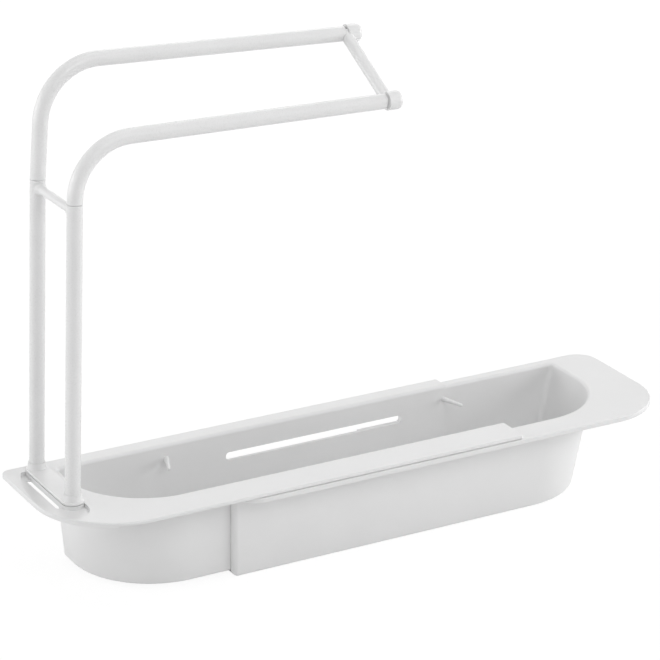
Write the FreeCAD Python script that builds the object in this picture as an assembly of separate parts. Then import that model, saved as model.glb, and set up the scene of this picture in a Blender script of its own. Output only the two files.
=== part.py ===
import FreeCAD, Part
import math
import os

# Telescopic sink caddy with a lift-off towel rail. Millimetres, +Z up, +X towards the outer tray's end.
# The origin lies under the middle of the caddy, at the height of the outer tray's bottom.

# Trays: overall
inner_length = 281.0
outer_length = 282.9
rest_length = 386.9
open_length = 501.9
inner_rim_thickness = 2.2
outer_rim_thickness = 3.2
rim_edge_radius = 0.8
tray_depth = 53.0
wall = 2.0
floor_thickness = 2.0
side_draft = 1.0
inner_end_draft = 4.5
outer_end_draft = 12.0
bottom_radius = 1.5
floor_radius = 2.5
mouth_radius = 2.0

# Trays: cavity and rim in plan
cavity_width = 63.5
front_rim = 22.5
back_rim = 11.0
left_shelf = 29.2
right_shelf = 28.1
front_corner = 47.0
back_corner = 3.0
left_rim_front_corner = 48.0
left_rim_back_corner = 5.5
right_rim_front_corner = 39.0
right_rim_back_corner = 13.0
left_rim_open_corner = 1.5
right_rim_open_corner = 11.0

# Trays: how one slides in the other
side_gap = 2.0
rim_clearance = 0.3
lip_length = 3.0
lip_clearance = 0.3
lip_round = 3.0
guide_height = 7.0
guide_drops = (14.0, 32.0)
guide_clearance = 0.4
guide_setback = 8.0
stop_clearance = 0.4

# Long slot in the back walls
slot_start = 30.4
slot_length = 116.1
slot_drop = 13.1
slot_height = 4.8
slot_corner = 2.0
outer_slot_margin = 2.8

# Splayed pegs on the inner tray's back wall
peg_length = 14.0
peg_root_diameter = 3.0
peg_tip_diameter = 1.8
peg_root_depth = 0.8
peg_splay = 19.5
peg_drop = 8.8
peg_setback = 2.0
peg_spacing = 182.0

# Drain slots in the floors
drain_width = 3.5
drain_length = 30.0
drain_pitch = 24.0
drain_end_margin = 47.0
drain_open_margin = 26.0

# End shelf that carries the towel rail
pad_thickness = 1.0
pocket_depth = 2.2
pocket_width = 23.6
pocket_length = 69.6
pocket_outward = 6.5
pocket_forward = 9.25
pocket_lip = 1.0
bow_radius = 82.0
bow_edge = 1.2
bow_forward = 10.75
slit_width = 2.8
slit_length = 42.0
slit_forward = 2.25

# Towel rail: foot
post_setback = 10.6
post_back_inset = 9.25
post_spacing = 48.0
foot_radius = 6.2
foot_thickness = 1.6
foot_edge_radius = 0.5
foot_clearance = 0.3
plug_radius = 4.0
collar_height = 3.6
collar_base_radius = 5.5
collar_top_radius = 4.8
pin_length = 14.0

# Towel rail: tubes
tube_diameter = 8.6
tube_bore = 5.8
tube_fit = 0.1
post_gap = 0.3
seam_drop = 1.5
seam_gap = 0.15
seam_chamfer = 0.3
neck_length = 16.0
neck_bore = 4.0
neck_shoulder = 1.0
back_rail_height = 229.4
front_rail_height = 199.3
back_bend_radius = 33.5
front_bend_radius = 32.0
back_rail_tilt = 2.4
front_rail_tilt = 0.0
back_rail_rise = 0.0
front_rail_rise = 1.2
back_rail_reach = 180.7
front_rail_reach = 183.0
rail_lean = 2.38

# Towel rail: rungs and caps
mid_rung_drop = 4.6
mid_rung_diameter = 4.75
mid_rung_flare_diameter = 6.8
mid_rung_flare_length = 2.2
tenon_diameter = 3.4
end_rung_diameter = 6.8
back_rung_inset = -0.1
front_rung_inset = 1.3
cap_gap = 1.5
cap_diameter = 10.6
cap_length = 9.1
cap_edge_radius = 3.0
cap_rim_radius = 0.4
cap_plug_length = 14.0

# Worked out from the sizes above
left_end = -rest_length / 2
left_open = left_end + inner_length
right_end = rest_length / 2
right_open = right_end - outer_length
opening_travel = open_length - rest_length
right_rim_top = tray_depth
right_rim_bottom = right_rim_top - outer_rim_thickness
left_rim_bottom = right_rim_top + rim_clearance
left_rim_top = left_rim_bottom + inner_rim_thickness
left_bottom = left_rim_top - tray_depth
shelf_bottom = left_rim_bottom - pad_thickness
rim_width = front_rim + cavity_width + back_rim
half_rim = rim_width / 2
left_front = front_rim - half_rim
left_back = half_rim - back_rim
cavity_middle = (left_front + left_back) / 2
right_front = left_front - wall - side_gap
right_back = left_back + wall + side_gap
side_slope = math.tan(math.radians(side_draft))
inner_end_slope = math.tan(math.radians(inner_end_draft))
outer_end_slope = math.tan(math.radians(outer_end_draft))
slot_right = left_open - slot_start
slot_left = slot_right - slot_length
slot_top = left_rim_top - slot_drop
slot_bottom = slot_top - slot_height
foot_x = left_end + left_shelf - post_setback
back_y = half_rim - post_back_inset
front_y = back_y - post_spacing
foot_y = (front_y + back_y) / 2
foot_bottom = left_rim_top + foot_clearance
foot_top = foot_bottom + foot_thickness
tube_radius = tube_diameter / 2
bore_radius = tube_bore / 2
pin_radius = bore_radius - tube_fit
up = FreeCAD.Vector(0, 0, 1)
across = FreeCAD.Vector(0, 1, 0)
past = 1.0  # how far a cutter runs past a face
near = 0.01  # tolerance for finding edges


def vec(x, y, z):
    return FreeCAD.Vector(x, y, z)


def outline(corners, z):
    """Closed wire through corners (x, y, radius), each rounded by its radius."""
    count = len(corners)
    rounds = []
    for i in range(count):
        x, y, radius = corners[i]
        here = vec(x, y, z)
        before = vec(corners[i - 1][0], corners[i - 1][1], z) - here
        after = vec(corners[(i + 1) % count][0], corners[(i + 1) % count][1], z) - here
        before.normalize()
        after.normalize()
        inward = before + after
        inward.normalize()
        half = before.getAngle(after) / 2
        reach = radius / math.tan(half)
        middle = here + inward * (radius / math.sin(half) - radius)
        rounds.append((here + before * reach, middle, here + after * reach))
    edges = []
    for i in range(count):
        begin, middle, end = rounds[i]
        if corners[i][2] > 0:
            edges.append(Part.Arc(begin, middle, end).toShape())
        edges.append(Part.LineSegment(end, rounds[(i + 1) % count][0]).toShape())
    return Part.Wire(edges)


def prism(corners, z_low, z_high):
    return Part.Face(outline(corners, z_low)).extrude(vec(0, 0, z_high - z_low))


def stadium(x, y_front, y_back, radius, z_low, z_high):
    """Round-ended block along Y, with the centres of its ends at y_front and y_back."""
    front_left = vec(x - radius, y_front, z_low)
    back_left = vec(x - radius, y_back, z_low)
    back_right = vec(x + radius, y_back, z_low)
    front_right = vec(x + radius, y_front, z_low)
    curves = [
        Part.LineSegment(front_left, back_left),
        Part.Arc(back_left, vec(x, y_back + radius, z_low), back_right),
        Part.LineSegment(back_right, front_right),
        Part.Arc(front_right, vec(x, y_front - radius, z_low), front_left),
    ]
    wire = Part.Wire([curve.toShape() for curve in curves])
    return Part.Face(wire).extrude(vec(0, 0, z_high - z_low))


def edges_in_plane(shape, axis, value):
    """Edges that lie in the plane where the axis (0, 1 or 2) has this value."""
    found = []
    for edge in shape.Edges:
        box = edge.BoundBox
        low = (box.XMin, box.YMin, box.ZMin)[axis]
        high = (box.XMax, box.YMax, box.ZMax)[axis]
        if abs(low - value) < near and abs(high - value) < near:
            found.append(edge)
    return found


def u_corners(
    x_open, x_end, y_front, y_back, front_radius, back_radius, open_front_radius, open_back_radius
):
    """Corners of a plan that is open towards x_open and closed at x_end."""
    return [
        (x_open, y_front, open_front_radius),
        (x_end, y_front, front_radius),
        (x_end, y_back, back_radius),
        (x_open, y_back, open_back_radius),
    ]


def tray_block(x_open, x_end, y_front, y_back, end_slope, grow, z_rim, z_low, z_high):
    """Drafted block with the cavity's plan at z_rim, grown sideways, and open towards x_open."""
    side = 1 if x_end > x_open else -1
    wires = []
    for z in (z_low, z_high):
        inset = (z_rim - z) * side_slope - grow
        end_inset = (z_rim - z) * end_slope - grow
        corners = u_corners(
            x_open,
            x_end - side * end_inset,
            y_front + inset,
            y_back - inset,
            front_corner + grow,
            back_corner + grow,
            0,
            0,
        )
        wires.append(outline(corners, z))
    return Part.makeLoft(wires, True, True)


def side_run(x_low, x_high, grow, z_low, z_high):
    """Straight block with the inner tray's drafted sides, grown sideways, between two heights."""
    points = []
    for z, order in ((z_low, 1), (z_high, -1)):
        inset = (left_rim_top - z) * side_slope - wall - grow
        pair = [vec(x_low, left_front + inset, z), vec(x_low, left_back - inset, z)]
        points += pair[::order]
    face = Part.Face(Part.makePolygon(points + points[:1]))
    return face.extrude(vec(x_high - x_low, 0, 0))


def rounded_bottom(block, radius, z_bottom, x_open):
    """Rounds a block's bottom edge, apart from its open end."""
    open_end = edges_in_plane(block, 0, x_open)
    edges = [e for e in edges_in_plane(block, 2, z_bottom) if not any(e.isSame(o) for o in open_end)]
    return block.makeFillet(radius, edges)


def rim_plate(corners, z_low, z_high):
    """Flat plate with all its edges rounded."""
    plate = prism(corners, z_low, z_high)
    edges = edges_in_plane(plate, 2, z_low) + edges_in_plane(plate, 2, z_high)
    return plate.makeFillet(rim_edge_radius, edges)


def cavity_cutter(x_open, x_end, y_front, y_back, end_slope, z_rim, z_floor):
    """Cutter for a tray's cavity, flared at the top so that it leaves a rounded inner edge on the rim."""
    side = 1 if x_end > x_open else -1
    flare = mouth_radius + past
    z_flare = z_rim + near
    core = tray_block(x_open, x_end, y_front, y_back, end_slope, 0, z_rim, z_floor, z_flare)
    core = rounded_bottom(core, floor_radius, z_floor, x_open)
    slab_corners = u_corners(
        x_open,
        x_end + side * flare,
        y_front - flare,
        y_back + flare,
        front_corner + flare,
        back_corner + flare,
        0,
        0,
    )
    cutter = core.fuse(prism(slab_corners, z_flare, z_flare + past)).removeSplitter()
    x_low = min(x_open, x_end) - past
    x_high = max(x_open, x_end) + past
    room = FreeCAD.BoundBox(x_low, y_front - past, z_rim, x_high, y_back + past, z_rim + past)
    mouth = []
    for edge in edges_in_plane(cutter, 2, z_flare):
        if room.isInside(edge.BoundBox) and abs(edge.BoundBox.Center.x - x_open) > near:
            mouth.append(edge)
    return cutter.makeFillet(mouth_radius, mouth)


def back_slot(grow):
    """Cutter for the round-cornered slot through the back walls, grown all round."""
    y_low = left_back - tray_depth * side_slope - past
    length = slot_length + 2 * grow
    depth = right_back + wall + past - y_low
    height = slot_height + 2 * grow
    block = Part.makeBox(length, depth, height, vec(slot_left - grow, y_low, slot_bottom - grow))
    return block.makeFillet(slot_corner, [e for e in block.Edges if e.BoundBox.YLength > depth - near])


def drain_slots(x_open, x_end, z_floor):
    """Cutters for a row of round-ended drain slots across a floor."""
    side = 1 if x_end > x_open else -1
    first = x_end - side * drain_end_margin
    count = int((abs(first - x_open) - drain_open_margin) / drain_pitch) + 1
    half = (drain_length - drain_width) / 2
    cutters = []
    for i in range(count):
        x = first - side * i * drain_pitch
        cutters.append(
            stadium(
                x,
                cavity_middle - half,
                cavity_middle + half,
                drain_width / 2,
                z_floor - floor_thickness - past,
                z_floor + past,
            )
        )
    return cutters


def peg(x, splay):
    """Tapered round-tipped peg on the inner tray's back wall, turned to one side by splay."""
    height = left_rim_top - peg_drop
    wall_y = left_back - peg_drop * side_slope
    length = peg_length + peg_root_depth
    tip_radius = peg_tip_diameter / 2
    cone = Part.makeCone(peg_root_diameter / 2, tip_radius, length, vec(0, 0, 0), vec(0, -1, 0))
    shape = cone.fuse(Part.makeSphere(tip_radius, vec(0, -length, 0)))
    shape.rotate(vec(0, 0, 0), up, splay)
    shape.translate(vec(x, wall_y + peg_root_depth, height))
    return shape


def wall_guides():
    """Raised guides on the inner tray's sides. They centre it, and the outer tray's lip stops on them."""
    start = right_open + lip_length + opening_travel + stop_clearance
    bands = []
    for drop in guide_drops:
        top = left_rim_top - drop
        bands.append(
            side_run(start, left_open - guide_setback, side_gap - guide_clearance, top - guide_height, top)
        )
    return bands


def shelf_cutters(rim_corners):
    """Pocket round the foot's seat with a bowed outer side, slit beside the seat, and hole for the plug."""
    floor_z = left_rim_top - pocket_depth
    top = left_rim_top + past
    half_run = (pocket_length - pocket_width) / 2
    pocket_y = foot_y - pocket_forward
    pocket = stadium(
        foot_x - pocket_outward, pocket_y - half_run, pocket_y + half_run, pocket_width / 2, floor_z, top
    )
    bow_middle = vec(left_end + bow_edge + bow_radius, foot_y - bow_forward, floor_z)
    pocket = pocket.common(Part.makeCylinder(bow_radius, top - floor_z, bow_middle, up))
    lip_corners = []
    for x, y, radius in rim_corners:
        lip_x = x + pocket_lip if x == left_end else x
        lip_y = y + pocket_lip if y < 0 else y - pocket_lip
        lip_corners.append((lip_x, lip_y, radius - pocket_lip if x == left_end else radius))
    pocket = pocket.common(prism(lip_corners, floor_z, top))
    pocket = pocket.cut(stadium(foot_x, front_y, back_y, foot_radius, floor_z, top))
    below = shelf_bottom - past
    slit_half = (slit_length - slit_width) / 2
    slit_y = foot_y - slit_forward
    slit = stadium(
        foot_x - foot_radius - slit_width / 2,
        slit_y - slit_half,
        slit_y + slit_half,
        slit_width / 2,
        below,
        floor_z + past,
    )
    hole = stadium(foot_x, front_y, back_y, plug_radius + foot_clearance, below, top)
    return [pocket, slit.cut(stadium(foot_x, front_y, back_y, foot_radius, below, top)), hole]


def make_left_tray():
    cavity_end = left_end + left_shelf
    rim_corners = u_corners(
        left_open,
        left_end,
        -half_rim,
        half_rim,
        left_rim_front_corner,
        left_rim_back_corner,
        left_rim_open_corner,
        left_rim_open_corner,
    )
    shelf = Part.makeBox(left_shelf, rim_width, left_rim_top, vec(left_end, -half_rim, 0))
    pad = rim_plate(rim_corners, shelf_bottom, left_rim_top).common(shelf)
    body = tray_block(
        left_open,
        cavity_end,
        left_front,
        left_back,
        inner_end_slope,
        wall,
        left_rim_top,
        left_bottom,
        left_rim_bottom,
    )
    body = rounded_bottom(body, bottom_radius, left_bottom, left_open)
    tray = rim_plate(rim_corners, left_rim_bottom, left_rim_top).multiFuse([pad, body] + wall_guides())
    floor_top = left_bottom + floor_thickness
    cavity = cavity_cutter(
        left_open + past, cavity_end, left_front, left_back, inner_end_slope, left_rim_top, floor_top
    )
    tray = tray.cut(cavity)
    peg_x = left_open - peg_setback
    tray = tray.multiFuse([peg(peg_x, peg_splay), peg(peg_x - peg_spacing, -peg_splay)])
    slot = back_slot(0)
    cutters = shelf_cutters(rim_corners) + [slot] + drain_slots(left_open, cavity_end, floor_top)
    return tray.cut(cutters).removeSplitter()


def make_right_tray():
    cavity_end = right_end - right_shelf
    rim_corners = u_corners(
        right_open,
        right_end,
        -half_rim,
        half_rim,
        right_rim_front_corner,
        right_rim_back_corner,
        right_rim_open_corner,
        left_rim_open_corner,
    )
    body = tray_block(
        right_open,
        cavity_end,
        right_front,
        right_back,
        outer_end_slope,
        wall,
        right_rim_top,
        0,
        right_rim_bottom,
    )
    body = rounded_bottom(body, bottom_radius, 0, right_open)
    mouth_edges = edges_in_plane(body, 0, right_open)
    body = body.makeFillet(lip_round, [e for e in mouth_edges if e.BoundBox.ZLength > tray_depth / 2])
    tray = rim_plate(rim_corners, right_rim_bottom, right_rim_top).fuse(body)
    lip_end = right_open + lip_length
    cavity = cavity_cutter(
        lip_end, cavity_end, right_front, right_back, outer_end_slope, right_rim_top, floor_thickness
    )
    mouth_top = right_rim_top + past
    mouth = side_run(right_open - past, lip_end + past, lip_clearance, floor_thickness, mouth_top)
    tray = tray.cut([cavity, mouth])
    slot = back_slot(outer_slot_margin)
    return tray.cut([slot] + drain_slots(right_open, cavity_end, floor_thickness)).removeSplitter()


def lean(shape):
    """Tips a piece of the towel rail about the top of its foot, over the tray."""
    tipped = shape.copy()
    tipped.rotate(vec(foot_x, 0, foot_top), across, rail_lean)
    return tipped


def upright(radius, y, start, stop):
    """Round rod on a post's axis between two heights above the foot."""
    return Part.makeCylinder(radius, stop - start, vec(foot_x, y, foot_top + start), up)


def bend_set_back(bend_radius, rise, tilt):
    """How far a rail's bend starts before the corner of its axis."""
    return bend_radius * math.tan(math.radians((90 - rise - tilt) / 2))


back_bend_start = back_rail_height - bend_set_back(back_bend_radius, back_rail_rise, back_rail_tilt)
front_bend_start = front_rail_height - bend_set_back(front_bend_radius, front_rail_rise, front_rail_tilt)
seam_height = min(back_bend_start, front_bend_start) - seam_drop


class Rail:
    """Bent rail above the seam: the line of its axis, from which its tube and its cap are placed."""

    def __init__(self, y, height, bend_radius, rise, tilt, reach):
        self.y = y
        self.reach = reach
        self.cap_reach = reach + cap_gap
        self.rise = rise
        self.turn = 90 - rise - tilt
        self.bend_radius = bend_radius
        self.set_back = bend_set_back(bend_radius, rise, tilt)
        self.riser = vec(math.sin(math.radians(tilt)), 0, math.cos(math.radians(tilt)))
        self.inward = vec(math.cos(math.radians(tilt)), 0, -math.sin(math.radians(tilt)))
        self.out = vec(math.cos(math.radians(rise)), 0, math.sin(math.radians(rise)))
        self.seam = vec(foot_x, y, foot_top + seam_height)
        self.bend_start = height - seam_height - self.set_back
        self.corner = self.seam + self.riser * (height - seam_height)

    def at(self, reach):
        return self.corner + self.out * reach

    def rod(self, radius, start, reach):
        """Solid rod along the rail from a distance above the seam to a reach along the arm."""
        begin = self.seam + self.riser * start
        riser = Part.makeCylinder(radius, self.bend_start - start, begin, self.riser)
        foot_of_bend = self.seam + self.riser * self.bend_start
        disc = Part.Face(Part.Wire(Part.makeCircle(radius, foot_of_bend, self.riser)))
        bend = disc.revolve(foot_of_bend + self.inward * self.bend_radius, across, self.turn)
        arm = Part.makeCylinder(radius, reach - self.set_back, self.at(self.set_back), self.out)
        return riser.multiFuse([bend, arm]).removeSplitter()

    def along(self, shape, reach):
        """Places a shape that was made along +X from the origin at a reach along the arm."""
        placed = shape.copy()
        placed.rotate(vec(0, 0, 0), across, -self.rise)
        placed.translate(self.at(reach))
        return placed


back_rail = Rail(
    back_y, back_rail_height, back_bend_radius, back_rail_rise, back_rail_tilt, back_rail_reach
)
front_rail = Rail(
    front_y, front_rail_height, front_bend_radius, front_rail_rise, front_rail_tilt, front_rail_reach
)


def make_towel_foot():
    plate = stadium(foot_x, front_y, back_y, foot_radius, foot_bottom, foot_top)
    plate = plate.makeFillet(
        foot_edge_radius, edges_in_plane(plate, 2, foot_bottom) + edges_in_plane(plate, 2, foot_top)
    )
    pieces = [stadium(foot_x, front_y, back_y, plug_radius, shelf_bottom + foot_clearance, foot_top - near)]
    sunk = foot_thickness / 2
    for y in (front_y, back_y):
        collar = Part.makeCone(
            collar_base_radius, collar_top_radius, collar_height + sunk, vec(foot_x, y, foot_top - sunk), up
        )
        collar = collar.cut(upright(tube_radius + tube_fit, y, 0, collar_height + past))
        pieces.append(lean(collar))
        pieces.append(lean(upright(pin_radius, y, -sunk, pin_length)))
    return plate.multiFuse(pieces).removeSplitter()


def make_post(y, inward):
    """Straight tube from the foot to the seam, with a hole for the rung's tenon on its inner side."""
    top = seam_height - seam_gap / 2
    tube = upright(tube_radius, y, post_gap, top)
    tube = tube.makeChamfer(seam_chamfer, edges_in_plane(tube, 2, foot_top + top))
    tube = tube.cut(upright(bore_radius, y, post_gap - past, top + past))
    hole_start = vec(foot_x, y, foot_top + seam_height - mid_rung_drop)
    hole = Part.makeCylinder(tenon_diameter / 2 + tube_fit, tube_radius + past, hole_start, across * inward)
    return lean(tube.cut(hole))


def make_mid_rung():
    """Rung with flared ends that fit round the posts, and tenons that plug into them."""
    z = foot_top + seam_height - mid_rung_drop
    rod = Part.makeCylinder(mid_rung_diameter / 2, post_spacing, vec(foot_x, front_y, z), across)
    flares = []
    tenons = []
    for y, inward in ((front_y, 1), (back_y, -1)):
        flares.append(
            Part.makeCone(
                mid_rung_flare_diameter / 2,
                mid_rung_diameter / 2,
                mid_rung_flare_length,
                vec(foot_x, y + inward * tube_radius, z),
                across * inward,
            )
        )
        flares.append(
            Part.makeCylinder(mid_rung_flare_diameter / 2, tube_radius, vec(foot_x, y, z), across * inward)
        )
        tenon_start = vec(foot_x, y + inward * (bore_radius + tube_fit), z)
        tenons.append(Part.makeCylinder(tenon_diameter / 2, tube_radius, tenon_start, across * inward))
    posts = [upright(tube_radius + tube_fit, y, 0, back_rail_height) for y in (front_y, back_y)]
    return lean(rod.multiFuse(flares).cut(posts).multiFuse(tenons).removeSplitter())


def make_arm(rail):
    """Bent tube, necked down at its lower end to plug into the post."""
    start = seam_gap / 2
    shoulder = start + neck_shoulder
    below = vec(foot_x, rail.y, foot_top + seam_height + start - tube_diameter)
    outside = rail.rod(tube_radius, -tube_radius, rail.reach)
    outside = outside.cut(Part.makeCylinder(tube_diameter, tube_diameter, below, up))
    rim = edges_in_plane(outside, 2, foot_top + seam_height + start)
    outside = outside.makeChamfer(seam_chamfer, rim)
    neck_end = seam_height - neck_length
    neck = upright(pin_radius, rail.y, neck_end, seam_height + shoulder)
    neck = neck.makeChamfer(seam_chamfer, edges_in_plane(neck, 2, foot_top + neck_end))
    bore = rail.rod(bore_radius, shoulder, rail.reach + past)
    neck_hole = upright(neck_bore / 2, rail.y, neck_end - past, seam_height + shoulder + past)
    return lean(outside.fuse(neck).cut([bore, neck_hole]).removeSplitter())


def rod_x(radius, start, stop):
    return Part.makeCylinder(radius, stop - start, vec(start, 0, 0), vec(1, 0, 0))


def make_end_cap(rail):
    """Domed cap with a plug that goes into the tube's end."""
    head = rod_x(cap_diameter / 2, 0, cap_length)
    head = head.makeFillet(cap_edge_radius, edges_in_plane(head, 0, cap_length))
    head = head.makeFillet(cap_rim_radius, edges_in_plane(head, 0, 0))
    plug = rod_x(pin_radius, -cap_plug_length, cap_rim_radius)
    return rail.along(head.fuse(plug), rail.cap_reach)


def make_end_bridge():
    """Moulding that closes both rails: two caps and the sloping rung between them."""
    start = back_rail.at(back_rail.cap_reach + back_rung_inset)
    run = front_rail.at(front_rail.cap_reach + front_rung_inset) - start
    rung = Part.makeCylinder(end_rung_diameter / 2, run.Length, start, run)
    tube_end = rod_x(tube_radius + tube_fit, -tube_diameter, tube_fit)
    rung = rung.cut([rail.along(tube_end, rail.reach) for rail in (back_rail, front_rail)])
    return lean(rung.multiFuse([make_end_cap(back_rail), make_end_cap(front_rail)]).removeSplitter())


os.makedirs("parts", exist_ok=True)
nodes = {
    "left_tray": make_left_tray(),
    "right_tray": make_right_tray(),
    "towel_foot": make_towel_foot(),
    "front_post": make_post(front_y, 1),
    "back_post": make_post(back_y, -1),
    "mid_rung": make_mid_rung(),
    "front_arm": make_arm(front_rail),
    "back_arm": make_arm(back_rail),
    "end_bridge": make_end_bridge(),
}
for name, shape in nodes.items():
    shape.exportStep("parts/" + name + ".step")
    print(f"{name}: {len(shape.Solids)} solid, valid {shape.isValid()}, {shape.Volume:.0f} mm3")
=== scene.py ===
import bpy
import math
from mathutils import Matrix, Vector


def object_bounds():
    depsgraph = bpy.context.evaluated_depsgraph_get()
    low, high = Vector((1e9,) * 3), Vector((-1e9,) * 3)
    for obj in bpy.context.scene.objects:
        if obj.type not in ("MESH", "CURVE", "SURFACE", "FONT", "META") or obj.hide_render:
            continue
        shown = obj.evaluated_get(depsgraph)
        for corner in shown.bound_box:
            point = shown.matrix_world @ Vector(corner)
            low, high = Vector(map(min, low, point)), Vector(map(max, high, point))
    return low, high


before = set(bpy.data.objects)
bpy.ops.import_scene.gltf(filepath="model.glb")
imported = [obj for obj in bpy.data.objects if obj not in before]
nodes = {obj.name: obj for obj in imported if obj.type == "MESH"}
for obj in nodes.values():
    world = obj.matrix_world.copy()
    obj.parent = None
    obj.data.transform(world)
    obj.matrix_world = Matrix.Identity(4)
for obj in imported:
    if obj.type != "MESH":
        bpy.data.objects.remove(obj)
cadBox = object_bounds()
print("frame loaded:", len(nodes), "nodes")

mm = 0.001  # m


def linear(hexColour):  # sRGB hex to linear RGBA, by the sRGB curve
    channels = [int(hexColour[i:i + 2], 16) / 255 for i in (1, 3, 5)]
    return [c / 12.92 if c <= 0.04045 else ((c + 0.055) / 1.055) ** 2.4 for c in channels] + [1.0]


# Settings are the node's own; an input is a plain value, or (node, output) for a link
def addNode(tree, kind, inputs=None, **settings):
    node = tree.nodes.new(kind)
    for name, value in settings.items():
        setattr(node, name, value)
    for name, value in (inputs or {}).items():
        if isinstance(value, tuple) and isinstance(value[0], bpy.types.Node):
            tree.links.new(value[0].outputs[value[1]], node.inputs[name])
        else:
            node.inputs[name].default_value = value
    return node


def newMaterial(name):
    material = bpy.data.materials.new(name)
    material.use_nodes = True
    material.node_tree.nodes.clear()
    return material, material.node_tree


def perMetre(sizeInMm):  # texture scale for a pattern of this real size
    return 1 / (sizeInMm * mm)


# Moulded polypropylene, as the trays: a satin skin from a spark-eroded mould, with soft flow clouds
polypropylene = {
    "light": "#EBEBEB",
    "dark": "#E4E4E4",
    "ior": 1.49,
    "roughness": 0.42,
    "roughnessSpread": 0.05,
    "flowSize": 38,  # mm, clouds left by the melt front
    "grainSize": 0.8,  # mm, mould grain, drawn coarser than the real 0.1 mm so that it shows
    "grainDepth": 0.012,  # mm
    "waveSize": 55,  # mm, faint sink and warp of thin walls
    "waveDepth": 0.10,  # mm
}

# Extruded PVC tube, as the posts and arms: smoother than the mouldings, with a faintly uneven sheen
extrudedTube = {
    "light": "#EDEDED",
    "dark": "#E5E5E5",
    "ior": 1.52,
    "roughness": 0.30,
    "roughnessSpread": 0.06,
    "flowSize": 24,  # mm
    "grainSize": 0.6,  # mm, drawn coarse so that it shows
    "grainDepth": 0.004,  # mm
    "waveSize": 30,  # mm, slow swell along the pull
    "waveDepth": 0.02,  # mm
}

# Moulded ABS fittings, as the foot, rungs and caps: a fine even satin
mouldedFittings = {
    "light": "#ECECEC",
    "dark": "#E4E4E4",
    "ior": 1.54,
    "roughness": 0.36,
    "roughnessSpread": 0.05,
    "flowSize": 12,  # mm
    "grainSize": 0.5,  # mm, drawn coarse so that it shows
    "grainDepth": 0.006,  # mm
    "waveSize": 9,  # mm
    "waveDepth": 0.01,  # mm
}

# Noise that all three plastics share: broken clouds of flow, a fine grain and a plain slow wave
plasticNoise = {
    "flow": {"detail": 3.0, "roughness": 0.55},
    "grain": {"detail": 2.0, "roughness": 0.6},
    "wave": {"detail": 0.0, "roughness": 0.5},
}
grainHeights = (0.3, 0.7)  # of the noise, at the smoothest and the roughest spots


def makePlastic(name, look):
    material, tree = newMaterial(name)
    place = addNode(tree, "ShaderNodeTexCoord")
    noise = {}
    for layer, kind in plasticNoise.items():
        noise[layer] = addNode(
            tree,
            "ShaderNodeTexNoise",
            {
                "Vector": (place, "Object"),
                "Scale": perMetre(look[layer + "Size"]),
                "Detail": kind["detail"],
                "Roughness": kind["roughness"],
            },
        )
    colour = addNode(
        tree,
        "ShaderNodeMix",
        {"Factor": (noise["flow"], "Fac"), "A": linear(look["dark"]), "B": linear(look["light"])},
        data_type="RGBA",
    )
    roughness = addNode(
        tree,
        "ShaderNodeMapRange",
        {
            "Value": (noise["grain"], "Fac"),
            "From Min": grainHeights[0],
            "From Max": grainHeights[1],
            "To Min": look["roughness"] - look["roughnessSpread"],
            "To Max": look["roughness"] + look["roughnessSpread"],
        },
    )
    warp = addNode(
        tree,
        "ShaderNodeBump",
        {
            "Height": (noise["wave"], "Fac"),
            "Distance": look["waveDepth"] * mm,
            "Strength": 1.0,
        },
    )
    skin = addNode(
        tree,
        "ShaderNodeBump",
        {
            "Height": (noise["grain"], "Fac"),
            "Distance": look["grainDepth"] * mm,
            "Strength": 1.0,
            "Normal": (warp, "Normal"),
        },
    )
    shader = addNode(
        tree,
        "ShaderNodeBsdfPrincipled",
        {
            "Base Color": (colour, "Result"),
            "Roughness": (roughness, "Result"),
            "Normal": (skin, "Normal"),
            "IOR": look["ior"],
        },
    )
    addNode(tree, "ShaderNodeOutputMaterial", {"Surface": (shader, "BSDF")})
    return material


trayPlastic = makePlastic("moulded polypropylene", polypropylene)
tubePlastic = makePlastic("extruded PVC tube", extrudedTube)
fittingPlastic = makePlastic("moulded ABS fittings", mouldedFittings)
finishes = {  # the other pieces are fittings
    "left_tray": trayPlastic,
    "right_tray": trayPlastic,
    "front_post": tubePlastic,
    "back_post": tubePlastic,
    "front_arm": tubePlastic,
    "back_arm": tubePlastic,
}
for name, piece in nodes.items():
    piece.data.materials.clear()
    piece.data.materials.append(finishes.get(name, fittingPlastic))
print("materials set")

# Pale floor: near white where the object's soft shadow falls, and plain white further out
floorLook = {
    "size": 12.0,  # m
    "gap": 0.2,  # mm, under the outer tray's bottom
    "colour": "#F4F4F4",
    "white": "#FFFFFF",
    "whiteShare": 0.86,  # near the object, the rest takes its shadow
    "whiteStrength": 1.06,
    "shadowReach": 0.35,  # m from the middle
    "whiteFrom": 1.1,  # m from the middle
}


def seenRays(tree):  # 1 for what the camera sees, directly, in a reflection or through glass
    path = addNode(tree, "ShaderNodeLightPath")
    seen = addNode(
        tree,
        "ShaderNodeMath",
        {0: (path, "Is Camera Ray"), 1: (path, "Is Glossy Ray")},
        operation="MAXIMUM",
    )
    return addNode(
        tree,
        "ShaderNodeMath",
        {0: (seen, "Value"), 1: (path, "Is Transmission Ray")},
        operation="MAXIMUM",
    )


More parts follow.
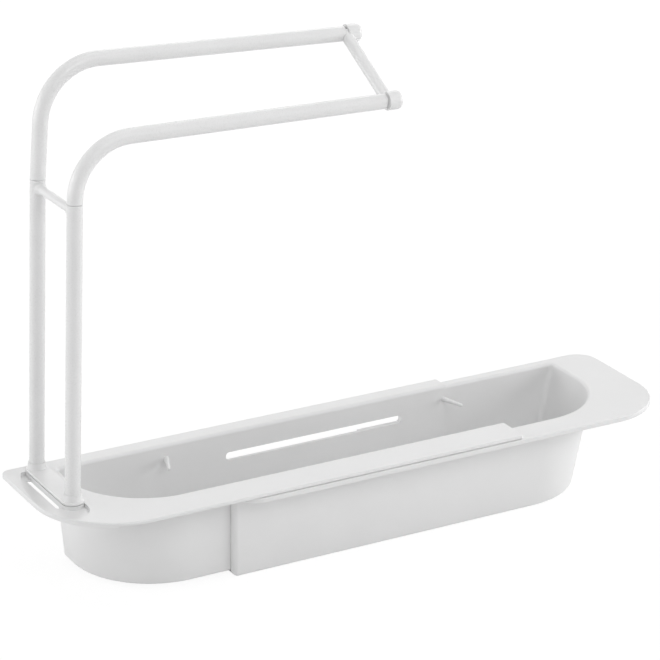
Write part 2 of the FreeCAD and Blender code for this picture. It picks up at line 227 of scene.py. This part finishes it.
def makeFloor():
    half = floorLook["size"] / 2
    mesh = bpy.data.meshes.new("floor")
    corners = [(-half, -half, 0), (half, -half, 0), (half, half, 0), (-half, half, 0)]
    mesh.from_pydata(corners, [], [(0, 1, 2, 3)])
    floor = bpy.data.objects.new("floor", mesh)
    bpy.context.scene.collection.objects.link(floor)
    floor.location.z = cadBox[0].z - floorLook["gap"] * mm
    material, tree = newMaterial("pale studio floor")
    place = addNode(tree, "ShaderNodeTexCoord")
    reach = addNode(tree, "ShaderNodeVectorMath", {0: (place, "Object")}, operation="LENGTH")
    whiter = addNode(
        tree,
        "ShaderNodeMapRange",
        {
            "Value": (reach, "Value"),
            "From Min": floorLook["shadowReach"],
            "From Max": floorLook["whiteFrom"],
            "To Min": floorLook["whiteShare"],
            "To Max": 1.0,
        },
    )
    share = addNode(
        tree,
        "ShaderNodeMath",
        {0: (seenRays(tree), "Value"), 1: (whiter, "Result")},
        operation="MULTIPLY",
    )
    paint = addNode(tree, "ShaderNodeBsdfDiffuse", {"Color": linear(floorLook["colour"])})
    white = addNode(
        tree,
        "ShaderNodeEmission",
        {"Color": linear(floorLook["white"]), "Strength": floorLook["whiteStrength"]},
    )
    mixed = addNode(
        tree,
        "ShaderNodeMixShader",
        {0: (share, "Value"), 1: (paint, "BSDF"), 2: (white, "Emission")},
    )
    addNode(tree, "ShaderNodeOutputMaterial", {"Surface": (mixed, "Shader")})
    mesh.materials.append(material)


makeFloor()
print("floor made")

# Soft studio light: a dim even room, broad low softboxes at the sides, weaker ones all round
worldLook = {"room": "#FFFFFF", "roomStrength": 0.22, "seen": "#FFFFFF", "seenStrength": 1.0}
lampAim = (-0.05, 0.0, 0.1)  # m, near the object's middle
lamps = {  # places and sizes in m
    "left softbox": {"from": (-1.44, 0.80, 0.40), "size": (1.6, 0.76), "watts": 10.0},
    "near left softbox": {"from": (-1.63, -0.28, 0.40), "size": (0.8, 0.76), "watts": 2.9},
    "right softbox": {"from": (1.45, -0.55, 0.40), "size": (1.6, 0.76), "watts": 13.2},
    "front softbox": {"from": (-0.05, -1.30, 1.05), "size": (0.8, 0.8), "watts": 6.3},
    "back softbox": {"from": (0.60, 1.13, 1.05), "size": (0.8, 0.8), "watts": 3.7},
    "overhead softbox": {"from": (-0.05, 0.0, 1.75), "size": (1.2, 1.2), "watts": 8.6},
}


def makeLight():
    world = bpy.data.worlds.new("studio")
    world.use_nodes = True
    tree = world.node_tree
    tree.nodes.clear()
    room = addNode(
        tree,
        "ShaderNodeBackground",
        {"Color": linear(worldLook["room"]), "Strength": worldLook["roomStrength"]},
    )
    seen = addNode(
        tree,
        "ShaderNodeBackground",
        {"Color": linear(worldLook["seen"]), "Strength": worldLook["seenStrength"]},
    )
    mixed = addNode(
        tree,
        "ShaderNodeMixShader",
        {0: (seenRays(tree), "Value"), 1: (room, "Background"), 2: (seen, "Background")},
    )
    addNode(tree, "ShaderNodeOutputWorld", {"Surface": (mixed, "Shader")})
    bpy.context.scene.world = world
    for name, lamp in lamps.items():
        data = bpy.data.lights.new(name, "AREA")
        data.shape = "RECTANGLE"
        data.size, data.size_y = lamp["size"]
        data.energy = lamp["watts"]
        light = bpy.data.objects.new(name, data)
        light.location = lamp["from"]
        aim = Vector(lampAim) - light.location
        light.rotation_mode = "QUATERNION"
        light.rotation_quaternion = aim.to_track_quat("-Z", "Y")
        bpy.context.scene.collection.objects.link(light)


makeLight()
bpy.context.scene.view_settings.view_transform = "Standard"
print("light set")

# Camera: a long lens, to the left of the front and a little above
cameraLook = {
    "eye": (-0.73360, -1.30166, 0.69928),  # m
    "yaw": 29.01,  # degrees to the right of +Y
    "pitch": 21.21,  # degrees down
    "roll": 0.10,  # degrees
    "lens": 156.0,  # mm
    "sensor": 36.0,  # mm wide
    "farthest": 50.0,  # m, beyond the floor's edge
}


def makeCamera():
    data = bpy.data.cameras.new("camera")
    data.lens = cameraLook["lens"]
    data.sensor_width = cameraLook["sensor"]
    data.clip_end = cameraLook["farthest"]
    camera = bpy.data.objects.new("camera", data)
    turn = Matrix.Rotation(-math.radians(cameraLook["yaw"]), 4, "Z")
    tilt = Matrix.Rotation(math.radians(90 - cameraLook["pitch"]), 4, "X")  # 90 looks level
    roll = Matrix.Rotation(math.radians(cameraLook["roll"]), 4, "Z")
    camera.matrix_world = Matrix.Translation(cameraLook["eye"]) @ turn @ tilt @ roll
    bpy.context.scene.collection.objects.link(camera)
    bpy.context.scene.camera = camera


makeCamera()
print("camera set")
